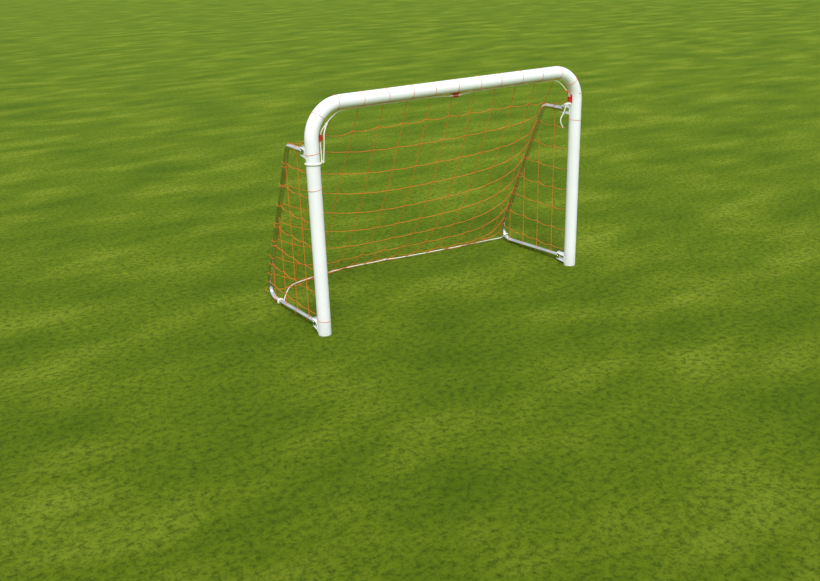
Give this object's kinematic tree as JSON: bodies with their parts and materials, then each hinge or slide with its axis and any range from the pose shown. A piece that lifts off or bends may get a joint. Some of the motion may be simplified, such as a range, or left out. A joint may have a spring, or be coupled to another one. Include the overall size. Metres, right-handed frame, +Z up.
{
  "type": "folding soccer goal",
  "caption": "Small folding soccer goal: a white bent-tube goal mouth, hinged thin side frames that fold flat behind it, a knotted twine net and rope ties.",
  "frame": {"origin": "on the ground, halfway between the posts and halfway from the front of the posts to the rear net's lower edge, free ropes left out", "axes": "+X along the crossbar to the right as seen from the mouth, +Y from the mouth to the back of the goal, +Z up"},
  "size_m": [1.808, 0.8553, 1.22],
  "materials": {
    "frame_paint": "gloss white powder coat on steel tube",
    "side_bar_metal": "bright zinc-plated steel tube",
    "zinc_fastener": "zinc-plated",
    "nylon": "natural moulded nylon",
    "rivet_aluminium": "plain blind rivet",
    "red_plastic": "moulded, slightly glossy",
    "net_twine": "twisted orange twine, knotted",
    "white_rope": "braided off-white cord"
  },
  "bodies": {
    "main_frame": {"main_frame_tube": "frame_paint", "left_upper_bracket": "frame_paint", "left_lower_bracket": "frame_paint", "right_upper_bracket": "frame_paint", "right_lower_bracket": "frame_paint", "hinge_bolts": "zinc_fastener", "hinge_nuts": "zinc_fastener", "hinge_washers": "zinc_fastener", "left_net_hook": "red_plastic", "crossbar_net_hook": "red_plastic", "right_net_hook": "red_plastic", "hook_rivets": "rivet_aluminium", "top_net": "net_twine", "left_top_side_net": "net_twine", "right_top_side_net": "net_twine", "rear_net": "net_twine", "border_rope": "white_rope", "border_rope_hitch": "white_rope", "border_rope_knot": "white_rope", "border_rope_tail": "white_rope", "left_ground_rope": "white_rope", "right_ground_rope": "white_rope", "ground_rope_knot": "white_rope"},
    "left_side_frame": {"left_side_tube": "side_bar_metal", "left_upper_eye": "frame_paint", "left_lower_eye": "frame_paint", "left_hinge_bushes": "nylon", "left_side_net": "net_twine", "left_foot_tie": "white_rope"},
    "right_side_frame": {"right_side_tube": "side_bar_metal", "right_upper_eye": "frame_paint", "right_lower_eye": "frame_paint", "right_hinge_bushes": "nylon", "right_side_net": "net_twine", "right_foot_tie": "white_rope"}
  },
  "joints": [
    {"name": "left_side_fold", "type": "hinge", "parent": "main_frame", "child": "left_side_frame", "pos_m": [-0.865, -0.2743, 0.034], "axis": [0, 0, -1], "range_deg": [0, 90]},
    {"name": "right_side_fold", "type": "hinge", "parent": "main_frame", "child": "right_side_frame", "pos_m": [0.865, -0.2743, 0.034], "axis": [0, 0, 1], "range_deg": [0, 90]}
  ]
}
